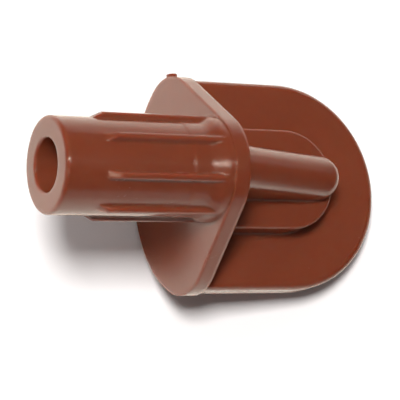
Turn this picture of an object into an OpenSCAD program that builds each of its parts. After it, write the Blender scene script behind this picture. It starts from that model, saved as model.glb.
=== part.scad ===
// Shelf support pin, moulded in one piece.
//
// The part is drawn in its working axes first: X runs along the pin, from
// its tip towards the end of the shelf plate, Y runs across the plate and
// Z stands off the plate on its ribbed side. There, the origin is where
// the pin's axis meets the face of the flange that bears on the cabinet
// wall. The finished piece is then laid down the way it settles on a
// table: on the flange's lower arc and the far end of the plate, with the
// pin in the air.

/* [Pin] */
// Diameter of the shelf hole that the pin is made for
hole_d = 6.35; // [5:0.05:8]
// Play of the plain core in that hole, on the diameter
core_play = 0.55; // [0.3:0.05:1]
// Wall of the hollow core
core_wall = 1.3; // [0.8:0.1:1.9]
// Length of the pin from its tip to the wall
pin_len = 10.8; // [8:0.1:16]
// Solid left between the bore's end and the wall
bore_stop = 1.8; // [0.5:0.1:3]
// Rounding of the tip's outer edge
tip_round = 0.2; // [0.1:0.05:0.5]
// Rounding of the bore's mouth
mouth_round = 0.1; // [0.05:0.05:0.3]

/* [Crush ribs] */
// Number of ribs round the core
rib_count = 8; // [4, 6, 8, 10]
// Bite of the rib crests in the hole, on the diameter
rib_bite = 0.13; // [0.03:0.05:0.48]
// Width of a rib at its crest
rib_crest_w = 0.4; // [0.3:0.05:0.8]
// Width that each side of a rib adds towards its foot
rib_flare = 0.05; // [0.05:0.05:0.3]
// Length of plain core ahead of the ribs
nose_len = 2.6; // [1.5:0.1:5]
// Length over which a rib rises to its full height
rib_lead = 0.7; // [0.4:0.1:2]

/* [Collar] */
// Bite of the full round collar in the hole, on the diameter
collar_bite = 0.15; // [0.05:0.05:0.5]
// Length of the collar, against the flange
collar_len = 0.2; // [0.2:0.1:2]
// Length over which the core swells to the collar
collar_ramp = 1.3; // [1:0.1:2.5]
// Length of that swell's rounded shoulder, next to the collar
collar_round = 0.6; // [0.3:0.1:0.8]
// Height of the mould's seam, a faint step in the core
seam_step = 0.03; // [0.02:0.01:0.08]
// Length of core between the seam and the swell
seam_gap = 1; // [0.4:0.1:1.5]

/* [Wall flange] */
// Thickness of the flange
flange_t = 1; // [0.8:0.1:2.5]
// Flange left above the collar
top_margin = 0.05; // [0.05:0.05:1]
// Radius of the flange's top beyond the collar's radius
top_spread = 0.2; // [0.2:0.05:1.5]
// Flange beyond each side of the shelf plate
side_margin = 0.2; // [0.1:0.05:1]
// Flange beyond the shelf plate, as a stop for the shelf's end
stop_h = 4.65; // [4:0.05:7]
// Radius of the flange's two side corners
corner_r = 3.5; // [1.5:0.1:4]

/* [Shelf plate] */
// Width of the plate
plate_w = 13.5; // [10:0.1:18]
// Length of the plate beyond the flange
plate_len = 13.5; // [11:0.1:22]
// Thickness of the plate
plate_t = 1.8; // [1.2:0.1:3]
// Drop from the pin's axis to the plate's ribbed side
plate_drop = 3.6; // [3:0.1:5]
// Rounding of the plate's edge on the ribbed side
plate_edge_r = 0.45; // [0.1:0.05:0.55]
// Rounding of the plate's edge on the shelf side
plate_under_r = 0.2; // [0.1:0.05:0.5]

/* [Raised pad] */
// Width of the pad
pad_w = 6.4; // [4.5:0.1:9]
// Height of the pad above the plate
pad_h = 1.8; // [0.6:0.1:2.4]
// Length of pad left beyond the gusset's end
pad_lip = 0.1; // [0.1:0.1:2]
// Rounding of the pad's upper edge
pad_edge_r = 0.2; // [0.15:0.05:0.5]

/* [Gusset] */
// Width of the gusset, also the diameter of its round back
gusset_w = 2.8; // [1.6:0.1:4]
// Step from the flange's top down to the gusset's back
gusset_step = 0.8; // [0.3:0.1:2]
// Length of the gusset beyond the flange
gusset_len = 9; // [5.5:0.1:10]
// Fall of the gusset's back towards its end
gusset_slope = 17.3; // [10:0.1:20]

/* [Gate mark] */
// Width of the broken-off gate on the flange's edge
gate_w = 0.7; // [0.3:0.1:1]
// Height that the gate mark stands proud
gate_h = 0.25; // [0.1:0.05:0.4]

/* [Hidden] */
$fn = 96;
plastic = [0.49, 0.22, 0.15];

// How far the ribs, collar and pad are sunk into what they join.
sunk = 0.05;
// How far a line or arc is drawn inside the arc that it runs on from, so
// that the two cross cleanly.
skim = 0.0005;

core_r = (hole_d - core_play) / 2;
rib_r = (hole_d + rib_bite) / 2;
collar_r = (hole_d + collar_bite) / 2;
bore_r = core_r - core_wall;
bore_depth = pin_len - bore_stop;
plate_r = plate_w / 2;
pad_r = pad_w / 2;
gusset_r = gusset_w / 2;

// Heights of the main faces, from the pin's axis.
plate_top = -plate_drop;
plate_bottom = plate_top - plate_t;
pad_top = plate_top + pad_h;
plate_end = flange_t + plate_len;

// Flange outline, in Y and Z. The top arc lies a little off the collar,
// and a corner arc is centred on each side of the plate's middle.
top_z = collar_r + top_margin;
top_r = collar_r + top_spread;
top_c = [0, top_z - top_r];
corner_c = [plate_r + side_margin - corner_r, plate_top - plate_t / 2];
// A shoulder line touches the top arc and a corner arc.
shoulder_run = corner_c - top_c;
shoulder_a = atan2(shoulder_run[1], shoulder_run[0])
    + acos((top_r - corner_r) / norm(shoulder_run));
// The lower arc runs smoothly from one corner arc to the other.
flange_bottom = plate_bottom - stop_h;
low_rise = corner_c[1] - corner_r - flange_bottom;
low_r = corner_r + (pow(corner_c[0], 2) + pow(low_rise, 2)) / (2 * low_rise);
low_c = [0, flange_bottom + low_r];
corner_a = atan2(corner_c[1] - low_c[1], corner_c[0]);

// The gusset's back is a cylinder: its axis starts at the flange's inner
// face and ends at the centre of the domed end.
gusset_z0 = top_z - gusset_step - gusset_r / cos(gusset_slope);
gusset_x1 = flange_t + gusset_len - gusset_r;
gusset_z1 = gusset_z0 - (gusset_x1 - flange_t) * tan(gusset_slope);

// How the piece lies: a line that passes under the flange's inner edge
// and the rounded far end of the plate makes this angle with the plate.
toe_x = plate_end - plate_under_r - flange_t;
toe_z = plate_bottom + plate_under_r - flange_bottom;
rest_tilt = atan2(toe_z, toe_x) - asin(plate_under_r / norm([toe_x, toe_z]));

// Middle of the laid-down piece along X, between the pin's lower tip edge
// and the plate's upper end edge, and the height of the table below it.
round_gain = 1 - sin(rest_tilt) - cos(rest_tilt);
rest_x0 = -pin_len * cos(rest_tilt) - core_r * sin(rest_tilt) - tip_round * round_gain;
rest_x1 = plate_end * cos(rest_tilt) + plate_top * sin(rest_tilt) + plate_edge_r * round_gain;
rest_mid = (rest_x0 + rest_x1) / 2;
rest_floor = flange_bottom * cos(rest_tilt) - flange_t * sin(rest_tilt);

function polar(c, r, a) = c + r * [cos(a), sin(a)];
function flip(p) = [-p[0], p[1]];

// Quarter disc about c that fills a corner from angle a0 to a0 + 90.
module quarter(c, r, a0) {
    translate(c) rotate(a0) intersection() {
        circle(r = r);
        square(r);
    }
}

// Turns a revolved shape drawn along Z so that it runs along the pin.
module along_pin() {
    translate([-pin_len, 0, 0]) rotate([0, 90, 0]) children();
}

// Hollow core with a rounded tip and bore mouth. Past the seam it swells
// to the collar along a hollow arc that runs smoothly into a rounded
// shoulder.
module pin_core() {
    root_r = core_r + seam_step;
    ramp_z = pin_len - collar_len - collar_ramp;
    seam_z = ramp_z - seam_gap;
    round_z = pin_len - collar_len - collar_round;
    steepest = 2 * atan((collar_r - root_r) / collar_ramp);
    ramp_r = (collar_ramp - collar_round) / sin(steepest);
    round_r = collar_round / sin(steepest);
    along_pin() rotate_extrude() {
        difference() {
            polygon([
                [bore_r + mouth_round, 0],
                [core_r - tip_round, 0],
                [core_r - tip_round, tip_round],
                [core_r, tip_round],
                [core_r, seam_z - seam_step],
                [root_r, seam_z],
                [root_r, ramp_z],
                [collar_r, ramp_z],
                [collar_r, pin_len + sunk],
                [0, pin_len + sunk],
                [0, bore_depth],
                [bore_r, bore_depth],
                [bore_r, mouth_round],
                [bore_r + mouth_round, mouth_round]
            ]);
            translate([root_r + ramp_r - skim, ramp_z]) circle(r = ramp_r);
            difference() {
                translate([root_r, round_z]) square(collar_round);
                translate([collar_r - round_r + skim, pin_len - collar_len])
                    circle(r = round_r);
            }
        }
        quarter([core_r - tip_round, tip_round], tip_round, -90);
        quarter([bore_r + mouth_round, mouth_round], mouth_round, 180);
    }
}

// Everything that the crests may reach: a cone for the lead, then the
// crest circle.
module rib_envelope() {
    along_pin() rotate_extrude() polygon([
        [0, nose_len],
        [core_r, nose_len],
        [rib_r, nose_len + rib_lead],
        [rib_r, pin_len],
        [0, pin_len]
    ]);
}

// Half of a rib's section: a flared foot sunk into the core's wall, and a
// crest with a rounded corner that the envelope trims.
module rib_half() {
    crest = rib_crest_w / 2;
    round = crest * 0.6;
    foot = crest + rib_flare;
    root = bore_r + core_wall / 2;
    polygon([
        [0, root], [foot, root], [foot, core_r - sunk],
        [crest, rib_r - round], [crest - round, rib_r - round],
        [crest - round, rib_r + sunk], [0, rib_r + sunk]
    ]);
    quarter([crest - round, rib_r - round], round, 0);
}

module crush_ribs() {
    step = 360 / rib_count;
    intersection() {
        rib_envelope();
        for (i = [0 : rib_count - 1], side = [0, 1])
            rotate([step * (i + 0.5), 0, 0]) mirror([0, side, 0])
                translate([-pin_len, 0, 0]) rotate([90, 0, 90])
                    linear_extrude(pin_len) rib_half();
    }
}

// Shield-shaped outline of the flange, in Y and Z.
module flange_outline() {
    t1 = polar(top_c, top_r - skim, shoulder_a);
    t2 = polar(corner_c, corner_r - skim, shoulder_a);
    wide = polar(low_c, 2 * low_r, corner_a);
    translate(top_c) circle(r = top_r);
    polygon([t1, t2, corner_c, low_c, flip(corner_c), flip(t2), flip(t1)]);
    for (side = [0, 1]) mirror([side, 0]) translate(corner_c) circle(r = corner_r);
    intersection() {
        translate(low_c) circle(r = low_r - skim);
        polygon([low_c, wide, [0, wide[1] - 2 * low_r], flip(wide)]);
    }
}

module wall_flange() {
    rotate([90, 0, 90]) linear_extrude(flange_t) flange_outline();
}

// Half section of a tongue, from its middle plane out to its rounded edge.
module tongue_section(r, z0, z1, r0, r1) {
    polygon([
        [0, z0], [r - r0, z0], [r - r0, z0 + r0], [r, z0 + r0],
        [r, z1 - r1], [r - r1, z1 - r1], [r - r1, z1], [0, z1]
    ]);
    quarter([r - r0, z0 + r0], r0, -90);
    quarter([r - r1, z1 - r1], r1, 0);
}

// Tongue that leaves the flange with straight sides and ends in a half
// circle: r is its half width, r0 and r1 round its lower and upper edges.
module tongue(r, length, z0, z1, r0, r1) {
    start = flange_t / 2;
    middle = flange_t + length - r;
    translate([start, 0, 0]) rotate([90, 0, 90]) linear_extrude(middle - start)
        for (side = [0, 1]) mirror([side, 0]) tongue_section(r, z0, z1, r0, r1);
    translate([middle, 0, 0]) rotate([0, 0, -90]) rotate_extrude(angle = 180)
        tongue_section(r, z0, z1, r0, r1);
}

module shelf_plate() {
    tongue(plate_r, plate_len, plate_bottom, plate_top, plate_under_r, plate_edge_r);
}

// The pad's foot is sunk into the plate, so only its upper edge shows.
module raised_pad() {
    foot = plate_top - plate_t / 2;
    tongue(pad_r, gusset_len + pad_lip, foot, pad_top, sunk, pad_edge_r);
}

// Round-backed rib that braces the flange, with a domed upright end.
module gusset() {
    foot = plate_top - plate_t / 2;
    back_len = norm([gusset_x1 - flange_t, gusset_z0 - gusset_z1]);
    start = flange_t / 2;
    start_z = gusset_z0 + (flange_t - start) * tan(gusset_slope);
    intersection() {
        union() {
            translate([0, gusset_r, 0]) rotate([90, 0, 0])
                linear_extrude(gusset_w) polygon([
                    [start, foot], [gusset_x1, foot],
                    [gusset_x1, gusset_z1], [start, start_z]
                ]);
            translate([gusset_x1, 0, gusset_z1]) rotate([0, gusset_slope - 90, 0])
                cylinder(r = gusset_r, h = back_len + flange_t);
            translate([gusset_x1, 0, 0]) rotate_extrude() {
                translate([0, foot]) square([gusset_r, gusset_z1 - foot]);
                quarter([0, gusset_z1], gusset_r, 0);
            }
        }
        translate([start, -gusset_w, foot])
            cube([gusset_len + flange_t, 2 * gusset_w, top_z - foot]);
    }
}

// Mark that the moulding gate left on one corner of the flange's edge.
module gate_mark() {
    translate([flange_t / 2, corner_c[0], corner_c[1]]) rotate([-90, 0, 0])
        cylinder(d = gate_w, h = corner_r + gate_h);
}

module shelf_support() {
    color(plastic) translate([-rest_mid, 0, -rest_floor]) rotate([0, rest_tilt, 0]) {
        pin_core();
        crush_ribs();
        wall_flange();
        shelf_plate();
        raised_pad();
        gusset();
        gate_mark();
    }
}

shelf_support();
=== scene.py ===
"""Shelf support pin: its moulded plastic finish, the table it lies on, and the view."""

import math

import bpy
from bpy.props import FloatProperty, FloatVectorProperty, PointerProperty
from mathutils import Matrix, Vector

bl_info = {
    "name": "Shelf Support Pin",
    "version": (1, 0, 0),
    "blender": (4, 5, 0),
    "location": "View3D > Sidebar > Shelf Pin",
    "description": "Glossy moulded finish, table and view for a plastic shelf support pin",
    "category": "Object",
}

MM = 0.001

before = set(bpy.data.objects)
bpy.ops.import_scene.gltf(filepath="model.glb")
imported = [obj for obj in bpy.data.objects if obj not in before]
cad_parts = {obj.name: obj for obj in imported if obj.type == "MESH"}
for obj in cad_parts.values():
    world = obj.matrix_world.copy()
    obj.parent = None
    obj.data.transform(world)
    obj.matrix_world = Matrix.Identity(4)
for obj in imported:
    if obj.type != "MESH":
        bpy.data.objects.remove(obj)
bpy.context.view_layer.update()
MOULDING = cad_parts["shelf_support"]

# Plastic: about how far across each kind of mark is.
SCUFF_WIDTH = 0.16 * MM
SCUFF_PATCH = 4.0 * MM
WEAR_PATCH = 1.2 * MM
FLOW_MARK = 5.0 * MM
MOTTLE_SPOT = 0.5 * MM
GLOSS_PATCH = 2.2 * MM
WAVE_WIDTH = 1.3 * MM
GRAIN_WIDTH = 0.12 * MM

# Noise values between which a mark fades in, and those that most of a noise lies between.
SCUFF_FADE = (0.63, 0.76)
SCUFF_PATCH_FADE = (0.45, 0.65)
WEAR_FADE = (0.35, 0.6)
MOST_NOISE = (0.3, 0.7)

# Each run of scuffs: its turn in radians, and the scale that draws it out along one way.
SCUFF_RUNS = (
    ((0.1, 0.3, 0.5), (0.12, 1.0, 1.0)),
    ((0.4, -0.2, 2.2), (0.1, 1.0, 1.0)),
)

# Worn edges: cosine between the flat and the softened surface where wear starts and where it
# is full, how much it varies along an edge, and the rays that soften an edge.
WEAR_LEAN = (0.99, 0.8)
WEAR_SHARES = (0.5, 1.0)
EDGE_SAMPLES = 6

# How far the marks change the colour and the roughness.
MOTTLE_SHARE = 0.4
SCUFF_PALER = 0.04
SCUFF_DULLER = 0.1
WEAR_DULLER = 0.06
GLOSS_SPREAD = 0.05

# Light in the plastic: its refraction, and how far red, green and blue travel in it.
PLASTIC_IOR = 1.5
DEPTH_BY_COLOUR = (1.0, 0.3, 0.15)

# Dim corner of the room: its direction, and the cosines of the angle from it between which
# the table and the horizon grow dim. On the table this is painted shade in its reflection.
# The horizon glows up to a low height.
DIM_CORNER = (0.99, -0.139, 0.0)
TABLE_CORNER = (0.66, 0.96)
HORIZON_CORNER = (0.85, 0.99)
HORIZON_HEIGHT = 0.2

# Table: the distances over which each effect changes, and the levels it changes between.
# The pin's shade, the corner and the fade are painted shade in the table's reflection.
TABLE_SIDES = 96
TABLE_WHITE = (0.9, 0.9, 0.9, 1.0)
# Painted shade: a dark patch in the table's reflection under the pin, with its reach and levels.
UNDER_PIN = (-6.5 * MM, -0.5 * MM, 0.0)
PIN_SHADE_REACH = (2.5 * MM, 5.0 * MM)
PIN_SHADE_LEVELS = (0.2, 1.0)
CORNER_REACH = (10.0 * MM, 30.0 * MM)
# Painted fall-off: the table's reflection grows dimmer far from the part.
FADE_REACH = (10.0 * MM, 120.0 * MM)
FADE_LEVELS = (1.0, 0.5)
SHADOW_REACH = (25.0 * MM, 60.0 * MM)

# Lamps: the point they face, their distance from it, and the tints of the small ones.
LAMP_AIM = Vector((0.0, 0.0, 8.0 * MM))
LAMP_DISTANCE = 0.6
SPARK_TINT = (1.0, 0.93, 0.8)
GLINT_TINT = (1.0, 0.75, 0.56)

# Camera: its place in metres, its turn in degrees, its sensor in millimetres, and how near
# and how far it sees in metres.
CAMERA_PLACE = (-0.020793, -0.022199, 0.114480)
CAMERA_TURN = (11.6965, -9.5480, -4.9618)
CAMERA_SENSOR = 36.0
CAMERA_REACH = (0.001, 10.0)

# Room for a node in the node editor.
NODE_COLUMN = 220
NODE_ROW = 260


# ---------------------------------------------------------------- settings


class PlasticSettings(bpy.types.PropertyGroup):
    """Colours and surface of the moulded plastic."""

    base_colour: FloatVectorProperty(
        name="Plastic",
        description="Colour of the plastic",
        subtype="COLOR",
        size=3,
        min=0.0,
        max=1.0,
        default=(0.2, 0.0465, 0.0205),
    )
    roughness: FloatProperty(
        name="Roughness",
        description="Roughness of the moulded skin",
        subtype="FACTOR",
        min=0.0,
        max=1.0,
        default=0.19,
    )
    mottle: FloatProperty(
        name="Mottle",
        description="How much the colour varies along the flow marks",
        subtype="FACTOR",
        min=0.0,
        max=0.3,
        default=0.045,
    )
    wear: FloatProperty(
        name="Edge wear",
        description="How much paler the handled edges are",
        subtype="FACTOR",
        min=0.0,
        max=1.0,
        default=0.12,
    )
    depth_weight: FloatProperty(
        name="Depth share",
        description="Share of the light that enters the plastic before it leaves again",
        subtype="FACTOR",
        min=0.0,
        max=1.0,
        default=0.8,
    )
    depth: FloatProperty(
        name="Depth",
        description="How far light spreads inside the plastic",
        subtype="DISTANCE",
        unit="LENGTH",
        min=0.0,
        default=0.8 * MM,
    )
    waviness: FloatProperty(
        name="Waviness",
        description="Height of the moulded skin's slow waves",
        subtype="DISTANCE",
        unit="LENGTH",
        min=0.0,
        default=0.006 * MM,
    )
    grain: FloatProperty(
        name="Grain",
        description="Height of the moulded skin's fine grain",
        subtype="DISTANCE",
        unit="LENGTH",
        min=0.0,
        default=0.0008 * MM,
    )
    scuff_depth: FloatProperty(
        name="Scuff depth",
        description="Depth of the fine scuffs",
        subtype="DISTANCE",
        unit="LENGTH",
        min=0.0,
        default=0.0001 * MM,
    )
    edge_radius: FloatProperty(
        name="Edge softness",
        description="Radius to which the moulding's small edges look rounded",
        subtype="DISTANCE",
        unit="LENGTH",
        min=0.0,
        max=0.5 * MM,
        default=0.32 * MM,
    )


class StageSettings(bpy.types.PropertyGroup):
    """Table, lamps, room and camera."""

    table_radius: FloatProperty(
        name="Table radius",
        description="Radius of the flat table top",
        subtype="DISTANCE",
        unit="LENGTH",
        min=0.0,
        default=0.6,
    )
    # Its warm tint shows only in the shade, as painted warm bounce light.
    table_seen: FloatVectorProperty(
        name="Table as seen",
        description="Whiteness of the table where it is seen directly, warm in the shade",
        subtype="COLOR",
        size=3,
        min=0.0,
        max=3.0,
        default=(0.96, 0.93, 0.92),
    )
    # Painted reflection: the table shows brighter and warmer in the gloss than it is lit.
    table_painted_reflection: FloatVectorProperty(
        name="Table as mirrored",
        description="Whiteness of the table in the plastic's gloss",
        subtype="COLOR",
        size=3,
        min=0.0,
        max=3.0,
        default=(1.55, 1.43, 1.25),
    )
    key: FloatProperty(
        name="Overhead lamp",
        description="Brightness of the overhead softbox",
        min=0.0,
        default=69.0,
    )
    back: FloatProperty(
        name="Back lamp",
        description="Brightness of the broad softbox behind the part",
        min=0.0,
        default=0.75,
    )
    spark: FloatProperty(
        name="Swell lamp",
        description="Brightness of the narrow lamp that glints on the swell at the flange",
        min=0.0,
        default=24.0,
    )
    glint: FloatProperty(
        name="Rib lamp",
        description="Brightness of the small lamp that glints on the end of the upper rib",
        min=0.0,
        default=13.0,
    )
    ambient: FloatProperty(
        name="Room",
        description="Brightness of the room",
        min=0.0,
        default=0.12,
    )
    lens: FloatProperty(
        name="Lens",
        description="Focal length of the camera",
        subtype="DISTANCE_CAMERA",
        unit="CAMERA",
        min=1.0,
        default=162.0,
    )


# ---------------------------------------------------------------- shader nodes


def add_node(tree, kind, inputs, **attributes):
    """Adds a shader node; each input takes a constant or another node's output."""
    node = tree.nodes.new("ShaderNode" + kind)
    for name, value in attributes.items():
        setattr(node, name, value)
    for name, value in inputs.items():
        if isinstance(value, bpy.types.NodeSocket):
            tree.links.new(value, node.inputs[name])
        else:
            node.inputs[name].default_value = value
    return node


def calc(tree, operation, first, second):
    """A sum, product or the like of two numbers or outputs."""
    return add_node(tree, "Math", {0: first, 1: second}, operation=operation).outputs[0]


def noise(tree, coords, feature, detail=2.0, roughness=0.5, distortion=0.0):
    """Noise whose features are about a given size across."""
    return add_node(tree, "TexNoise", {
        "Vector": coords,
        "Scale": 1.0 / feature,
        "Detail": detail,
        "Roughness": roughness,
        "Distortion": distortion,
    }).outputs["Fac"]


def remap(tree, value, span, levels=(0.0, 1.0), smooth=False):
    """Stretches a value from one span to another and clamps it."""
    return add_node(tree, "MapRange", {
        "Value": value,
        "From Min": span[0],
        "From Max": span[1],
        "To Min": levels[0],
        "To Max": levels[1],
    }, interpolation_type="SMOOTHSTEP" if smooth else "LINEAR").outputs["Result"]


def around(middle, spread):
    """Span that reaches as far below a middle as above it."""
    return middle - spread, middle + spread


def in_corner(tree, coords, span):
    """1 where a point or direction lies towards the dim corner of the room, else 0."""
    way = add_node(tree, "VectorMath", {0: coords}, operation="NORMALIZE").outputs["Vector"]
    nearness = add_node(tree, "VectorMath", {0: way, 1: DIM_CORNER}, operation="DOT_PRODUCT")
    return remap(tree, nearness.outputs["Value"], span, smooth=True)


def arrange(output):
    """Lays a tree's nodes out in columns, each to the left of the nodes that it feeds."""
    column_of = {}

    def visit(node, column):
        if column > column_of.get(node, -1):
            column_of[node] = column
            for socket in node.inputs:
                for joint in socket.links:
                    visit(joint.from_node, column + 1)

    visit(output, 0)
    rows = {}
    for node, column in column_of.items():
        row = rows.get(column, 0)
        rows[column] = row + 1
        node.location = (-NODE_COLUMN * column, -NODE_ROW * row)


def new_material(name):
    """A material and its empty node tree."""
    material = bpy.data.materials.new(name)
    material.use_nodes = True
    material.node_tree.nodes.clear()
    return material, material.node_tree


# ---------------------------------------------------------------- plastic


def scuff_lines(tree, place):
    """Hairlines: fine noise drawn out along two crossing ways, kept to some patches."""
    runs = []
    for turn, scale in SCUFF_RUNS:
        drawn = add_node(tree, "Mapping", {"Vector": place, "Rotation": turn, "Scale": scale})
        fine = noise(tree, drawn.outputs["Vector"], SCUFF_WIDTH, detail=3.0, roughness=0.6)
        runs.append(remap(tree, fine, SCUFF_FADE))
    patches = remap(tree, noise(tree, place, SCUFF_PATCH), SCUFF_PATCH_FADE, smooth=True)
    return calc(tree, "MULTIPLY", calc(tree, "MAXIMUM", *runs), patches)


def worn_edges(tree, place, soft_normal):
    """Handled edges: where the softened normal leaves the surface's own."""
    flat = add_node(tree, "NewGeometry", {}).outputs["Normal"]
    lean = add_node(tree, "VectorMath", {0: soft_normal, 1: flat}, operation="DOT_PRODUCT")
    edges = remap(tree, lean.outputs["Value"], WEAR_LEAN)
    uneven = noise(tree, place, WEAR_PATCH, detail=3.0)
    return calc(tree, "MULTIPLY", edges, remap(tree, uneven, WEAR_FADE, WEAR_SHARES))


def plastic_colour(tree, place, settings, scuff, worn):
    """Colour with slow flow marks, a finer mottle, and paler scuffs and edges."""
    flow = remap(tree, noise(tree, place, FLOW_MARK, detail=3.0, distortion=0.8),
                 MOST_NOISE, around(1.0, settings.mottle))
    mottle = remap(tree, noise(tree, place, MOTTLE_SPOT, detail=4.0, roughness=0.6),
                   MOST_NOISE, around(1.0, MOTTLE_SHARE * settings.mottle))
    shade = calc(tree, "MULTIPLY", flow, mottle)
    shade = calc(tree, "ADD", shade, calc(tree, "MULTIPLY", scuff, SCUFF_PALER))
    shade = calc(tree, "ADD", shade, calc(tree, "MULTIPLY", worn, settings.wear))
    return add_node(tree, "VectorMath", {0: settings.base_colour, "Scale": shade},
                    operation="SCALE").outputs["Vector"]


def plastic_roughness(tree, place, settings, scuff, worn):
    """Roughness in slow patches, duller along the scuffs and edges."""
    rough = remap(tree, noise(tree, place, GLOSS_PATCH, detail=3.0),
                  MOST_NOISE, around(settings.roughness, GLOSS_SPREAD))
    rough = calc(tree, "ADD", rough, calc(tree, "MULTIPLY", scuff, SCUFF_DULLER))
    return calc(tree, "ADD", rough, calc(tree, "MULTIPLY", worn, WEAR_DULLER))


def plastic_relief(tree, place, settings, scuff, soft_normal):
    """Normal with faint waves, a fine grain and the scuffs over the softened edges.

    The bump's distance is one millimetre, so its height is worked out in millimetres.
    """
    waves = calc(tree, "MULTIPLY", noise(tree, place, WAVE_WIDTH, detail=1.0),
                 settings.waviness / MM)
    grains = calc(tree, "MULTIPLY", noise(tree, place, GRAIN_WIDTH), settings.grain / MM)
    cuts = calc(tree, "MULTIPLY", scuff, settings.scuff_depth / MM)
    height = calc(tree, "ADD", waves, calc(tree, "SUBTRACT", grains, cuts))
    return add_node(tree, "Bump", {
        "Strength": 1.0,
        "Distance": MM,
        "Height": height,
        "Normal": soft_normal,
    }).outputs["Normal"]


def moulded_plastic(settings):
    """Glossy brown plastic: flow marks, faint grain, hairline scuffs, soft edges."""
    material, tree = new_material("brown_plastic_moulded")
    place = add_node(tree, "TexCoord", {}).outputs["Object"]
    soft_normal = add_node(tree, "Bevel", {"Radius": settings.edge_radius},
                           samples=EDGE_SAMPLES).outputs["Normal"]
    scuff = scuff_lines(tree, place)
    worn = worn_edges(tree, place, soft_normal)
    skin = add_node(tree, "BsdfPrincipled", {
        "Base Color": plastic_colour(tree, place, settings, scuff, worn),
        "Roughness": plastic_roughness(tree, place, settings, scuff, worn),
        "Normal": plastic_relief(tree, place, settings, scuff, soft_normal),
        "IOR": PLASTIC_IOR,
        "Subsurface Weight": settings.depth_weight,
        "Subsurface Radius": DEPTH_BY_COLOUR,
        "Subsurface Scale": settings.depth,
    })
    arrange(add_node(tree, "OutputMaterial", {"Surface": skin.outputs["BSDF"]}))
    return material


# ---------------------------------------------------------------- stage


def painted_table_reflection(tree, place, distance, settings):
    """Painted reflection: brighter than lit, with painted shade far off, to the corner, under the
    pin.
    """
    # Painted shade: the table's reflection is darker under the pin.
    under = add_node(tree, "VectorMath", {0: place, 1: UNDER_PIN}, operation="DISTANCE")
    clear = remap(tree, under.outputs["Value"], PIN_SHADE_REACH, PIN_SHADE_LEVELS, smooth=True)
    # Painted fall-off: the reflection also grows dimmer far off.
    level = calc(tree, "MULTIPLY", clear, remap(tree, distance, FADE_REACH, FADE_LEVELS))
    # Painted shade: the table's reflection grows dim towards the corner, some way off the part.
    away = remap(tree, distance, CORNER_REACH, smooth=True)
    dim = calc(tree, "MULTIPLY", away, in_corner(tree, place, TABLE_CORNER))
    level = calc(tree, "MULTIPLY", level, calc(tree, "SUBTRACT", 1.0, dim))
    return add_node(tree, "VectorMath", {0: settings.table_painted_reflection, "Scale": level},
                    operation="SCALE").outputs["Vector"]


def white_table(settings):
    """Matt white that keeps the shadow, and beyond it shows as an even white."""
    material, tree = new_material("white_table")
    place = add_node(tree, "TexCoord", {}).outputs["Object"]
    distance = add_node(tree, "VectorMath", {0: place}, operation="LENGTH").outputs["Value"]
    path = add_node(tree, "LightPath", {})
    # Seen directly, the table's warm tint shows only in the shade, as painted warm bounce light.
    seen = add_node(tree, "Mix", {
        "Factor": path.outputs["Is Camera Ray"],
        "A": TABLE_WHITE,
        "B": (*settings.table_seen, 1.0),
    }, data_type="RGBA")
    # In the gloss the table shows its painted reflection rather than its lit white.
    colour = add_node(tree, "Mix", {
        "Factor": path.outputs["Is Glossy Ray"],
        "A": seen.outputs["Result"],
        "B": painted_table_reflection(tree, place, distance, settings),
    }, data_type="RGBA")
    matt = add_node(tree, "BsdfDiffuse", {"Color": colour.outputs["Result"]})
    even_white = add_node(tree, "Emission", {})
    beyond = remap(tree, distance, SHADOW_REACH, smooth=True)
    surface = add_node(tree, "MixShader", {
        0: calc(tree, "MULTIPLY", beyond, path.outputs["Is Camera Ray"]),
        1: matt.outputs["BSDF"],
        2: even_white.outputs["Emission"],
    })
    arrange(add_node(tree, "OutputMaterial", {"Surface": surface.outputs["Shader"]}))
    return material


def add_table(settings):
    """Round white table top."""
    angles = [2 * math.pi * i / TABLE_SIDES for i in range(TABLE_SIDES)]
    rim = [(settings.table_radius * math.cos(angle), settings.table_radius * math.sin(angle), 0.0)
           for angle in angles]
    mesh = bpy.data.meshes.new("table")
    mesh.from_pydata(rim, [], [tuple(range(TABLE_SIDES))])
    mesh.materials.append(white_table(settings))
    table = bpy.data.objects.new("table", mesh)
    bpy.context.scene.collection.objects.link(table)


def lamp_side(angle):
    """Length that spans an angle in degrees at the lamps' distance."""
    return 2 * LAMP_DISTANCE * math.tan(math.radians(angle) / 2)


def add_softbox(name, toward, width, depth, radiance, lights=True, mirrored=True,
                tint=(1.0, 1.0, 1.0)):
    """Lamp that faces the part, its width along X and its depth given in degrees."""
    lamp = bpy.data.lights.new(name, "AREA")
    lamp.shape = "RECTANGLE"
    lamp.color = tint
    lamp.size = lamp_side(width)
    lamp.size_y = lamp_side(depth)
    lamp.energy = radiance * math.pi * lamp.size * lamp.size_y
    box = bpy.data.objects.new(name, lamp)
    bpy.context.scene.collection.objects.link(box)
    z_axis = Vector(toward).normalized()
    y_axis = z_axis.cross(Vector((1.0, 0.0, 0.0))).normalized()
    x_axis = y_axis.cross(z_axis)
    box.location = LAMP_AIM + z_axis * LAMP_DISTANCE
    box.rotation_euler = Matrix((x_axis, y_axis, z_axis)).transposed().to_euler()
    box.visible_diffuse = lights
    box.visible_glossy = mirrored


def add_lamps(settings):
    """Two softboxes that light the part, and two small lamps that only glint on it."""
    add_softbox("overhead", toward=(-0.2, 0.095, 0.96), width=12, depth=13,
                radiance=settings.key, mirrored=False)
    add_softbox("back", toward=(-0.1, 0.72, 0.68), width=80, depth=40,
                radiance=settings.back, mirrored=False)
    add_softbox("spark", toward=(0.242, 0.0, 0.97), width=44, depth=4,
                radiance=settings.spark, lights=False, tint=SPARK_TINT)
    add_softbox("glint", toward=(-0.137, -0.43, 0.893), width=9, depth=12,
                radiance=settings.glint, lights=False, tint=GLINT_TINT)


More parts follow.
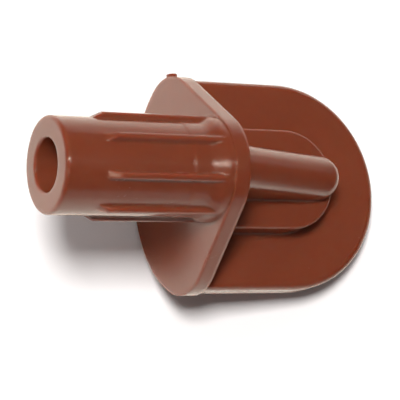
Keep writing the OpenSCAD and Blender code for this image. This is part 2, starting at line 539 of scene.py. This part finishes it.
def set_world(settings):
    """Dim room with a pale horizon in the gloss, and white behind the table."""
    world = bpy.data.worlds.new("room")
    bpy.context.scene.world = world
    world.use_nodes = True
    tree = world.node_tree
    tree.nodes.clear()
    way = add_node(tree, "TexCoord", {}).outputs["Generated"]
    height = add_node(tree, "SeparateXYZ", {"Vector": way}).outputs["Z"]
    low = remap(tree, height, (0.0, HORIZON_HEIGHT), (1.0, 0.0), smooth=True)
    open_side = calc(tree, "SUBTRACT", 1.0, in_corner(tree, way, HORIZON_CORNER))
    path = add_node(tree, "LightPath", {})
    level = add_node(tree, "Mix", {
        "Factor": path.outputs["Is Glossy Ray"],
        "A": settings.ambient,
        "B": calc(tree, "MULTIPLY", low, open_side),
    }, data_type="FLOAT")
    level = add_node(tree, "Mix", {
        "Factor": path.outputs["Is Camera Ray"],
        "A": level.outputs["Result"],
        "B": 1.0,
    }, data_type="FLOAT")
    room = add_node(tree, "Background", {"Color": level.outputs["Result"]})
    arrange(add_node(tree, "OutputWorld", {"Surface": room.outputs["Background"]}))


def set_camera(lens):
    """Camera that looks steeply down on the part from beyond the pin's tip."""
    data = bpy.data.cameras.new("view")
    data.lens = lens
    data.sensor_width = CAMERA_SENSOR
    data.clip_start, data.clip_end = CAMERA_REACH
    camera = bpy.data.objects.new("view", data)
    bpy.context.scene.collection.objects.link(camera)
    camera.location = CAMERA_PLACE
    camera.rotation_euler = [math.radians(angle) for angle in CAMERA_TURN]
    bpy.context.scene.camera = camera


# ---------------------------------------------------------------- operators


class SHELFPIN_OT_finish_plastic(bpy.types.Operator):
    """Give the moulding its glossy brown plastic"""

    bl_idname = "shelf_pin.finish_plastic"
    bl_label = "Finish Plastic"

    def execute(self, context):
        material = moulded_plastic(context.scene.shelf_pin_plastic)
        for slot in MOULDING.material_slots:
            slot.material = material
        return {"FINISHED"}


class SHELFPIN_OT_set_stage(bpy.types.Operator):
    """Lay the table, place the lamps and aim the camera"""

    bl_idname = "shelf_pin.set_stage"
    bl_label = "Set Stage"

    def execute(self, context):
        stage = context.scene.shelf_pin_stage
        add_table(stage)
        add_lamps(stage)
        set_world(stage)
        set_camera(stage.lens)
        context.scene.view_settings.view_transform = "Standard"
        return {"FINISHED"}


class SHELFPIN_PT_sidebar(bpy.types.Panel):
    """Sidebar panel that lists the steps and their settings"""

    bl_idname = "SHELFPIN_PT_sidebar"
    bl_label = "Shelf Support Pin"
    bl_space_type = "VIEW_3D"
    bl_region_type = "UI"
    bl_category = "Shelf Pin"

    def draw(self, context):
        scene = context.scene
        for settings, step in ((scene.shelf_pin_plastic, SHELFPIN_OT_finish_plastic),
                               (scene.shelf_pin_stage, SHELFPIN_OT_set_stage)):
            for name in type(settings).__annotations__:
                self.layout.prop(settings, name)
            self.layout.operator(step.bl_idname)


CLASSES = (
    PlasticSettings,
    StageSettings,
    SHELFPIN_OT_finish_plastic,
    SHELFPIN_OT_set_stage,
    SHELFPIN_PT_sidebar,
)


def register():
    """Registers the classes and hangs the settings on the scene."""
    for cls in CLASSES:
        bpy.utils.register_class(cls)
    bpy.types.Scene.shelf_pin_plastic = PointerProperty(type=PlasticSettings)
    bpy.types.Scene.shelf_pin_stage = PointerProperty(type=StageSettings)


def unregister():
    """Takes the settings off the scene and unregisters the classes."""
    del bpy.types.Scene.shelf_pin_stage
    del bpy.types.Scene.shelf_pin_plastic
    for cls in reversed(CLASSES):
        bpy.utils.unregister_class(cls)


def main():
    """Makes the finish and the stage."""
    register()
    bpy.ops.shelf_pin.finish_plastic()
    bpy.ops.shelf_pin.set_stage()


if __name__ == "__main__":
    main()
